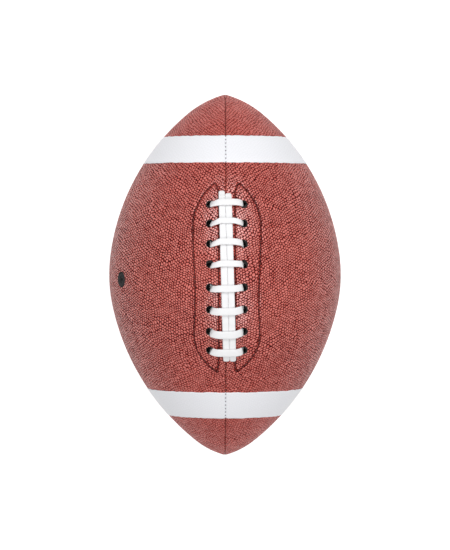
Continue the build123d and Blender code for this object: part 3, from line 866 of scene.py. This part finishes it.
class FOOTBALL_OT_stripes(bpy.types.Operator):
    """Paints the white stripes on the two lace panels"""

    bl_idname = "football.stripes"
    bl_label = "Stripes"

    EDGE_ANGLES = [math.radians(angle) for angle in (26, 44, 62, 76)]
    SEED = 11

    def execute(self, context):
        meridian = Meridian()
        look, cover = context.scene.stripe_look, context.scene.cover_look
        paint = stripe_paint()
        draw = random.Random(self.SEED)
        for end, way in ENDS.items():
            for hand, side in HANDS.items():
                node = f"stripe_{end}_{hand}"
                low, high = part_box(node)
                stations = np.array(sorted((abs(low.x), abs(high.x)))) * way
                near_run, far_run = np.abs(meridian.run_at(stations))
                count = int(0.8 * (high.y - low.y) * math.pi / 2 / cover.mesh_step)
                turns = np.linspace(0.0, 1.0, count)
                columns = count + 2 * len(self.EDGE_ANGLES)
                rows = int((far_run - near_run) / cover.mesh_step)
                shares = np.linspace(0.0, 1.0, rows)
                near_edge = near_run + self.wander(draw, columns, look.edge_wander)
                far_edge = far_run + self.wander(draw, columns, look.edge_wander)
                runs = near_edge + shares[:, None] * (far_edge - near_edge)
                runs = np.concatenate([runs[:1], runs, runs[-1:]]) * way
                points, _, hide = quarter_skin(meridian, runs, turns, look.film, self.EDGE_ANGLES)
                under, _, _ = quarter_skin(meridian, runs, turns, -look.film, self.EDGE_ANGLES)
                points[0], points[-1] = under[0], under[-1]
                points[:, 0, 1] = 0.0
                placed = points.reshape(-1, 3) * np.array([1.0, side, 1.0])
                faces = grid_faces(*points.shape[:2], side * way < 0)
                name = f"paint_{end}_{hand}"
                piece = new_piece(name, placed, faces, [paint], replaced=[node])
                mark(piece, "hide", hide.reshape(-1, 3))
        return {"FINISHED"}

    def wander(self, draw, count, reach):
        """An edge that strays a little along the pebbles."""
        knots = np.array([draw.uniform(-reach, reach) for _ in range(max(count // 3, 4))])
        return np.interp(np.linspace(0, len(knots) - 1, count), np.arange(len(knots)), knots)


# Lacing


def chaikin(path, rounds):
    """A path with its corners cut again and again, and its ends kept."""
    path = np.asarray(path, float)
    for _ in range(rounds):
        first, second = path[:-1], path[1:]
        cut = np.stack([0.75 * first + 0.25 * second, 0.25 * first + 0.75 * second], 1)
        path = np.concatenate([path[:1], cut.reshape(-1, path.shape[1]), path[-1:]])
    return path


class Loft:
    """Rings of points skinned into closed straps, collected into one mesh."""

    # How far out the rings of a soft end lie, and how large they are
    END_STEPS = (0.5, 0.8, 0.95, 1.0)
    END_SIZES = (0.95, 0.80, 0.58, 0.25)

    def __init__(self):
        self.vertices = []
        self.faces = []

    def strap(self, middles, across, up, widths, thicknesses, sides, squareness=4.0, round_ends=0.0):
        """A strap along its middles, with a rounded section. Its ends are closed, and drawn in if asked."""
        angle = np.linspace(0, 2 * math.pi, sides, endpoint=False)
        flat, tall = (
            np.sign(wave) * np.abs(wave) ** (2 / squareness) / 2 for wave in (np.cos(angle), np.sin(angle))
        )
        middles, across, up = (np.asarray(v, float) for v in (middles, across, up))
        widths, thicknesses = (np.broadcast_to(v, len(middles)).astype(float) for v in (widths, thicknesses))
        if round_ends:
            rounded = self.rounded(middles, across, up, widths, thicknesses, round_ends)
            middles, across, up, widths, thicknesses = rounded
        start = sum(len(block) for block in self.vertices)
        rings = (
            middles[:, None]
            + flat[None, :, None] * (widths[:, None] * across)[:, None]
            + tall[None, :, None] * (thicknesses[:, None] * up)[:, None]
        )
        self.vertices.append(rings.reshape(-1, 3))
        stop = start + len(middles) * sides
        faces = ring_faces(len(middles), sides, start)
        faces += [list(range(start, start + sides))[::-1], list(range(stop - sides, stop))]
        backward = np.dot(np.cross(across[0], up[0]), middles[1] - middles[0]) < 0
        self.faces += [face[::-1] if backward else face for face in faces]

    def rounded(self, middles, across, up, widths, thicknesses, reach):
        """Adds smaller and smaller rings past both ends, so that a cut end is soft."""
        steps, sizes = np.array(self.END_STEPS), np.array(self.END_SIZES)
        head, foot = middles[0] - middles[1], middles[-1] - middles[-2]
        first = middles[0] + head / np.linalg.norm(head) * reach * steps[::-1, None]
        last = middles[-1] + foot / np.linalg.norm(foot) * reach * steps[:, None]
        more = len(steps)
        across, up = (np.pad(v, ((more, more), (0, 0)), mode="edge") for v in (across, up))
        widths, thicknesses = (np.pad(v, more, mode="edge") for v in (widths, thicknesses))
        size = np.concatenate([sizes[::-1], np.ones(len(middles)), sizes])
        widths = widths - 2 * reach * (1 - size)
        return np.concatenate([first, middles, last]), across, up, widths, thicknesses * size

    def piece(self, name, materials, slot, node):
        """All straps as one piece, in place of a node."""
        return new_piece(name, np.concatenate(self.vertices), self.faces, materials, replaced=[node])


class FOOTBALL_OT_lacing(bpy.types.Operator):
    """Laces the ball: a spine of two strands, and a cross lace in and out of the holes over it"""

    bl_idname = "football.lacing"
    bl_label = "Lacing"

    # How far the lace turns as it goes down its left and its right hole
    SLANTS = (math.radians(28), math.radians(9))
    # The section of the cross lace
    SECTION = {"squareness": 4.5, "sides": 24}
    # Where a rung's end begins to droop and to slant, as shares of the way to its hole
    DROOP_FROM = 0.3
    SLANT_FROM, SLANT_OVER = 0.45, 0.5
    # How much thicker a strand of the spine is between two rungs, and how far from a rung it begins to swell
    # and over what length, in rung pitches
    SWELL = 0.35 * MM
    SWELL_FROM, SWELL_OVER = 0.15, 0.5
    # How far a strand's ends are rounded
    SOFT_END = 2.2 * MM
    # How far from its ends a strand begins to sink, and how deep it goes
    NOSE_SINK = (3.0 * MM, 0.9 * MM)
    TAIL_SINK = (2.0 * MM, 0.4 * MM)

    def execute(self, context):
        meridian = Meridian()
        vinyl = lace_vinyl()
        tail = context.scene.lacing_look.tail
        runs = rung_runs()
        cross = Loft()
        for run, (_, stray, width, left, right) in zip(runs, RUNGS):
            self.rung(cross, meridian, run, stray * MM, width * MM, (left * MM, right * MM))
        inside = [(runs[0] - tail, runs[0]), *zip(runs, runs[1:]), (runs[-1], runs[-1] + tail)]
        for n, (start, stop) in enumerate(inside):
            self.link(cross, meridian, start, stop, 1 if n % 2 else -1)
        cross.piece("cross_lace", [vinyl], "lace_white", "lace_cross")
        spine = Loft()
        crossed = [run + stray * MM for run, (_, stray, *_) in zip(runs, RUNGS)]
        for side in (-1, 1):
            self.strand(spine, meridian, crossed, side)
        spine.piece("spine_lace", [vinyl], "lace_white", "lace_spine")
        return {"FINISHED"}

    def rung(self, loft, meridian, run, stray, width, droops):
        """One rung: up out of a hole, over the spine and down into the other hole."""
        lacing = bpy.context.scene.lacing_look
        seat = meridian.seat(run + stray)
        flat = 2 * lacing.clearance + 1.5 * lacing.thickness
        foot = -lacing.inside_depth - lacing.thickness
        half = [(lacing.leg_offset, height) for height in (foot, foot / 2, lacing.dip)]
        half += [(lacing.flat_half, flat), (0.4 * lacing.flat_half, flat * 1.04)]
        path = chaikin([*half, *[(-y, z) for y, z in reversed(half)]], 4)[::-1]
        y, z = path.T
        out = np.abs(y) / lacing.leg_offset
        down = smooth_step(-z / (0.45 * lacing.inside_depth))
        droop = np.where(y < 0, *droops) * smooth_step((out - self.DROOP_FROM) / (1 - self.DROOP_FROM))
        shift = droop * (1 - down) - stray * down
        widths = width + (lacing.leg_width - width) * down
        along, level, up = (np.array(seat.col[c].to_3d()) for c in range(3))
        place = np.array(seat.translation)
        middles = place + shift[:, None] * along + (y + lacing.row_shift)[:, None] * level + z[:, None] * up
        slant = np.where(y < 0, -self.SLANTS[0], self.SLANTS[1])
        slant = slant * smooth_step((out - self.SLANT_FROM) / self.SLANT_OVER)
        across = np.cos(slant)[:, None] * along + np.sin(slant)[:, None] * level
        above = unit(np.cross(np.gradient(middles, axis=0), across))
        above *= np.sign(above[len(above) // 2] @ up)
        loft.strap(middles, across, above, widths, lacing.thickness, **self.SECTION)

    def link(self, loft, meridian, start, stop, side):
        """The lace inside the cover, between two holes of one row."""
        lacing = bpy.context.scene.lacing_look
        aside = side * lacing.leg_offset + lacing.row_shift
        height = lacing.thickness / 2 - lacing.inside_depth
        ribbon = meridian.ribbon(np.linspace(start, stop, 12), aside, height)
        loft.strap(*ribbon, lacing.leg_width, lacing.thickness, squareness=4.5, sides=16)

    def strand(self, loft, meridian, crossed, side):
        """One strand of the spine, a little pressed under each rung and sunk at its ends."""
        lacing = bpy.context.scene.lacing_look
        last = rung_runs()[-1]
        nose = float(meridian.at(-last)[0]) - lacing.nose_overhang
        tail = float(meridian.at(last)[0]) + lacing.tail_overhang
        nose += lacing.fold_step if side > 0 else 0.0
        stations = np.linspace(nose, tail, 260)
        runs = meridian.run_at(stations)
        aside = lacing.shift + stations * math.tan(lacing.lean) + side * lacing.strand_width / 2
        nearest = np.abs(runs[:, None] - np.array(crossed)[None]).min(1)
        swell = smooth_step((nearest / lacing.rung_pitch - self.SWELL_FROM) / self.SWELL_OVER) * self.SWELL
        height = lacing.clearance + lacing.thickness / 2 + swell / 2
        for away, (reach, depth) in ((stations - nose, self.NOSE_SINK), (tail - stations, self.TAIL_SINK)):
            height = height - smooth_step((reach - away) / reach) * depth
        ribbon = meridian.ribbon(runs, aside, height)
        loft.strap(*ribbon, lacing.strand_width, lacing.thickness + swell, sides=24, round_ends=self.SOFT_END)


# Stitching


def in_stripe(station):
    """Whether a station of the axis lies within a stripe."""
    return any(start < station < stop for start, stop in STRIPE_SPANS)


class FOOTBALL_OT_stitching(bpy.types.Operator):
    """Sews the seams and the lines round the lace holes"""

    bl_idname = "football.stitching"
    bl_label = "Stitching"

    # How far from a tip the seams' stitches stop
    TIP_MARGIN = 7.0 * MM
    # The section of a thread
    SECTION = {"squareness": 2.0, "sides": 8}
    # How far to each side a seam's stitch shows and how steeply it rises there, in roundings of the panels'
    # edges, and how much wider than thick it is
    REACH = 0.75
    RISE = 0.9
    FLATNESS = 1.3
    # Half the share of a pitch that a stitch round the lacing covers, and how thick it is for its width
    HALF_STITCH = 0.42
    THICKNESS = 0.8

    def execute(self, context):
        meridian = Meridian()
        stitch = context.scene.stitch_look
        seam = twisted_thread("seam_thread", stitch.seam_colour)
        painted = twisted_thread("painted_thread", stitch.painted_colour)
        for name, turn in SEAM_TURNS.items():
            loft = self.seam(meridian, name, math.radians(turn))
            piece = loft.piece(f"stitches_{name}", [seam, painted], "seam_thread", f"seam_thread_{name}")
            for face in piece.data.polygons:
                face.material_index = int(name == "lace" and in_stripe(face.center.x))
        leaf = twisted_thread("leaf_thread", stitch.leaf_colour)
        for hand, side in HANDS.items():
            loft = self.leaf(meridian, side)
            loft.piece(f"stitch_line_{hand}", [leaf], "facing_thread", f"facing_thread_{hand}")
        return {"FINISHED"}

    def seam(self, meridian, name, turn):
        """Short threads across one seam, down in its valley."""
        stitch = bpy.context.scene.stitch_look
        rounding = bpy.context.scene.ball_shape.seam_rounding
        first = rung_runs()[-1] + stitch.slot_margin if name == "lace" else 0.0
        runs = []
        for end, full in meridian.lengths.items():
            steps = np.arange(stitch.seam_pitch / 2, full - self.TIP_MARGIN, stitch.seam_pitch)
            runs.extend(end * steps[steps > first])
        spin = np.array(Matrix.Rotation(-turn, 3, "X"))
        across = np.linspace(-self.REACH, self.REACH, 9) * rounding
        valley = self.RISE * rounding * (across / rounding) ** 2
        loft = Loft()
        for run in runs:
            seat = meridian.seat(run)
            depth = stitch.seam_depth if in_stripe(seat.translation.x) else stitch.bare_depth
            local = [seat @ Vector((0, y, -d)) for y, d in zip(across, depth + valley)]
            middles = np.array(local) @ spin.T
            along = np.broadcast_to(np.array(seat.col[0].to_3d()) @ spin.T, middles.shape)
            up = unit(np.cross(np.gradient(middles, axis=0), along))
            width = self.FLATNESS * stitch.seam_thread
            loft.strap(middles, along, up, width, stitch.seam_thread, **self.SECTION)
        return loft

    def leaf(self, meridian, side):
        """Stitches along the line round one row of lace holes, each dipping in at its ends."""
        stitch = bpy.context.scene.stitch_look
        plan = leaf_path(side)
        steps = path_steps(plan)
        count = int(steps[-1] / stitch.leaf_pitch)
        reach = np.linspace(0.5 - self.HALF_STITCH, 0.5 + self.HALF_STITCH, 9)
        dip = (np.abs(reach - 0.5) / self.HALF_STITCH) ** 4 * stitch.thread
        loft = Loft()
        for n in range(count):
            share = (n + reach) * steps[-1] / count
            x, y = (np.interp(share, steps, column) for column in plan.T)
            ribbon = meridian.ribbon(meridian.run_at(x), y, -0.5 * stitch.groove_depth - dip)
            loft.strap(*ribbon, stitch.thread, stitch.thread * self.THICKNESS, **self.SECTION)
        return loft


# Valve


def turned(seat, outline, sides):
    """A closed outline of (radius, height) points, turned about a frame's z axis."""
    angle = np.linspace(0, 2 * math.pi, sides, endpoint=False)
    radius, height = (column[:, None] for column in np.array(outline, float).T)
    local = np.stack([radius * np.cos(angle), radius * np.sin(angle), height + 0 * angle], -1).reshape(-1, 3)
    matrix = np.array(seat)
    return local @ matrix[:3, :3].T + matrix[:3, 3], ring_faces(len(outline), sides, closed=True)


class FOOTBALL_OT_valve(bpy.types.Operator):
    """Makes the rubber valve: its housing with a lip, and its plug with a hole for the needle"""

    bl_idname = "football.valve"
    bl_label = "Valve"

    SIDES = 64

    def execute(self, context):
        valve = context.scene.valve_look
        rubber = valve_rubber("valve_rubber", valve.black)
        seat = valve_seat()
        for name, outline, body, node in (
            ("valve_body", self.housing(valve), BALL_BODY, "valve_housing"),
            ("valve_stopper", self.plug(valve), PLUG_BODY, "valve_core"),
        ):
            vertices, faces = turned(seat, outline, self.SIDES)
            new_piece(name, vertices, faces, [rubber], [node], body)
        return {"FINISHED"}

    def crown(self, radius):
        """How far the ball's surface falls away from the valve's axis."""
        return radius**2 / (2 * bpy.context.scene.ball_shape.radius)

    def housing(self, valve):
        """Section of the housing, from the foot of its bore and round."""
        neck, bore, rim, lip = valve.neck_radius, valve.bore_radius, valve.flange_radius, 0.3 * MM
        flange_foot = valve.flange_depth + valve.flange_thickness
        top = [(bore, -2 * lip), (bore + 0.3 * lip, -1.3 * lip), (bore + lip, -lip)]
        top += [(0.55 * neck, -1.1 * lip), (0.62 * neck, -0.75 * lip), (0.72 * neck, -0.75 * lip)]
        top += [(0.79 * neck, -1.1 * lip), (0.88 * neck, -1.0 * lip), (0.95 * neck, -1.2 * lip)]
        top = [(r, h - self.crown(r)) for r, h in top]
        side = [(neck - 0.2 * lip, -2.0 * lip), (neck, -3.0 * lip), (neck, -valve.flange_depth)]
        brim = [(r, -valve.flange_depth - self.crown(r)) for r in np.linspace(neck, rim, 5)[1:]]
        foot = [(rim, -flange_foot - self.crown(rim)), (valve.stem_radius, -flange_foot)]
        stem = [(valve.stem_radius, -valve.depth + lip), (valve.stem_radius - lip, -valve.depth)]
        return [(bore, -valve.depth), *top, *side, *brim, *foot, *stem]

    def plug(self, valve):
        """Section of the plug, from the foot of the needle's hole and round."""
        soft, needle, radius = 0.25 * MM, valve.needle_radius, valve.plug_radius
        top, bottom = -valve.plug_sink, -valve.plug_sink - valve.plug_length
        hole = [(0.02 * MM, top - valve.needle_depth), (needle, top - valve.needle_depth)]
        mouth = [(needle, top - 2 * soft), (needle + 0.6 * soft, top - 0.4 * soft)]
        mouth += [(needle + 1.4 * soft, top)]
        rim = [(radius - soft, top), (radius - 0.2 * soft, top - 0.3 * soft), (radius, top - soft)]
        end = [(radius, bottom + 4 * soft), (radius - 2 * soft, bottom + soft), (0.02 * MM, bottom)]
        return [*hole, *mouth, *rim, *end]


# Pieces inside


class FOOTBALL_OT_inside(bpy.types.Operator):
    """Finishes the pieces inside the cover: linings, facings, tongue and bladder"""

    bl_idname = "football.inside"
    bl_label = "Inside"

    def execute(self, context):
        # Lining, facing and tongue are made near black so that the lace holes show black below their walls:
        # painted shade down the holes
        finishes = {
            "lining": woven_cloth("lining_cloth", (0.030, 0.027, 0.025), 0.9 * MM),
            "lace_facing": woven_cloth("facing_cloth", (0.014, 0.013, 0.013), 0.6 * MM),
            "lace_tongue": woven_cloth("tongue_cloth", (0.012, 0.012, 0.012), 0.8 * MM),
            "bladder": valve_rubber("bladder_rubber", (0.020, 0.019, 0.019)),
        }
        for name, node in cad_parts.items():
            for start, material in finishes.items():
                if name.startswith(start):
                    node.data.materials.clear()
                    node.data.materials.append(material)
        return {"FINISHED"}


# Stage


def background_rays(board):
    """1 for the rays that show the white background: to the camera, in gloss and through clear things."""
    rays = board.add("ShaderNodeLightPath")
    return (rays.out("Is Camera Ray") + rays.out("Is Glossy Ray") + rays.out("Is Transmission Ray")).held()


class FOOTBALL_OT_stage(bpy.types.Operator):
    """Sets up the pale floor, the soft lamps, the room's light and the camera"""

    bl_idname = "football.stage"
    bl_label = "Stage"

    FLOOR_SIZE = 12.0
    FLOOR_GLOW = 0.64
    LAMP_SIZE = 1.1
    # From the ball's middle
    KEY_PLACE = (-0.85, 0.06, 1.3)
    FILL_PLACE = (0.6, 0.1, 1.45)

    def execute(self, context):
        scene, studio = context.scene, context.scene.studio_look
        middle = Vector((0, 0, scene.ball_shape.centre_height))
        scene.view_settings.view_transform = "Standard"
        self.floor()
        self.room(scene, studio)
        self.lamp("key_lamp", middle, Vector(self.KEY_PLACE), studio.key)
        self.lamp("fill_lamp", middle, Vector(self.FILL_PLACE), studio.fill)
        self.camera(scene, studio, middle)
        return {"FINISHED"}

    def floor(self):
        """A white floor that keeps the ball's shadow and shows as white paper to the camera."""
        half = self.FLOOR_SIZE / 2
        corners = [(-half, -half, 0), (half, -half, 0), (half, half, 0), (-half, half, 0)]
        mesh = bpy.data.meshes.new("floor")
        mesh.from_pydata(corners, [], [(0, 1, 2, 3)])
        board = Paint("floor_paper")
        tone = board.mix(board.noise(board.place, 3.0), (0.80, 0.80, 0.80), (0.82, 0.82, 0.82))
        mesh.materials.append(board.dressed(Base_Color=tone, Roughness=0.9, Specular_IOR_Level=0.0))
        lit = Wire(board, board.shader.outputs[0])
        glow = board.add("ShaderNodeEmission", None, {"Strength": self.FLOOR_GLOW})
        both = board.add("ShaderNodeAddShader", None, {0: lit, 1: glow})
        mixed = board.add("ShaderNodeMixShader", None, {0: background_rays(board), 1: lit, 2: both})
        board.connect(board.tree.nodes["Material Output"], {"Surface": mixed})
        floor = placed_object("floor", mesh)

    def room(self, scene, studio):
        """Even light from all sides, and a white background."""
        world = bpy.data.worlds.new("room")
        scene.world = world
        world.use_nodes = True
        board = Board(world.node_tree)
        strength = studio.room + background_rays(board) * (1 - studio.room)
        board.connect(board.tree.nodes["Background"], {"Color": (1, 1, 1, 1), "Strength": strength})

    def lamp(self, name, target, offset, power):
        """A large soft lamp that faces the ball."""
        light = bpy.data.lights.new(name, "AREA")
        light.shape = "DISK"
        light.size = self.LAMP_SIZE
        light.energy = power
        lamp = placed_object(name, light)
        lamp.location = target + offset
        lamp.rotation_euler = (-offset).to_track_quat("-Z", "Y").to_euler()

    def camera(self, scene, studio, middle):
        """The camera over the lacing, with the nose up in the picture."""
        data = bpy.data.cameras.new("camera")
        data.lens = studio.lens
        data.sensor_width = 36.0
        back = Vector((-math.sin(studio.tilt), -math.sin(studio.turn), math.cos(studio.tilt))).normalized()
        right = (Vector((0, 1, 0)) - back * back.y).normalized()
        scene.camera = placed_object("camera", data)
        scene.camera.matrix_world = framed(middle + back * studio.distance, right, back.cross(right), back)


# Add-on


LOOKS = {
    "ball_shape": BallShape,
    "cover_look": CoverLook,
    "stripe_look": StripeLook,
    "lacing_look": LacingLook,
    "stitch_look": StitchLook,
    "valve_look": ValveLook,
    "studio_look": StudioLook,
}
STEPS = (
    FOOTBALL_OT_cover,
    FOOTBALL_OT_stripes,
    FOOTBALL_OT_lacing,
    FOOTBALL_OT_stitching,
    FOOTBALL_OT_valve,
    FOOTBALL_OT_inside,
    FOOTBALL_OT_stage,
)


class FOOTBALL_PT_sidebar(bpy.types.Panel):
    """Lists the steps and their settings"""

    bl_idname = "FOOTBALL_PT_sidebar"
    bl_label = "Football"
    bl_space_type = "VIEW_3D"
    bl_region_type = "UI"
    bl_category = "Football"

    def draw(self, context):
        for step in STEPS:
            self.layout.operator(step.bl_idname)
        for name, group in LOOKS.items():
            box = self.layout.box()
            for setting in group.__annotations__:
                box.prop(getattr(context.scene, name), setting)


def register():
    for group in LOOKS.values():
        bpy.utils.register_class(group)
    for name, group in LOOKS.items():
        setattr(bpy.types.Scene, name, PointerProperty(type=group))
    for step in (*STEPS, FOOTBALL_PT_sidebar):
        bpy.utils.register_class(step)


def unregister():
    for step in (FOOTBALL_PT_sidebar, *reversed(STEPS)):
        bpy.utils.unregister_class(step)
    for name, group in LOOKS.items():
        delattr(bpy.types.Scene, name)
        bpy.utils.unregister_class(group)


def main():
    """Runs every step in order."""
    register()
    for step in STEPS:
        family, name = step.bl_idname.split(".")
        getattr(getattr(bpy.ops, family), name)()


if __name__ == "__main__":
    main()
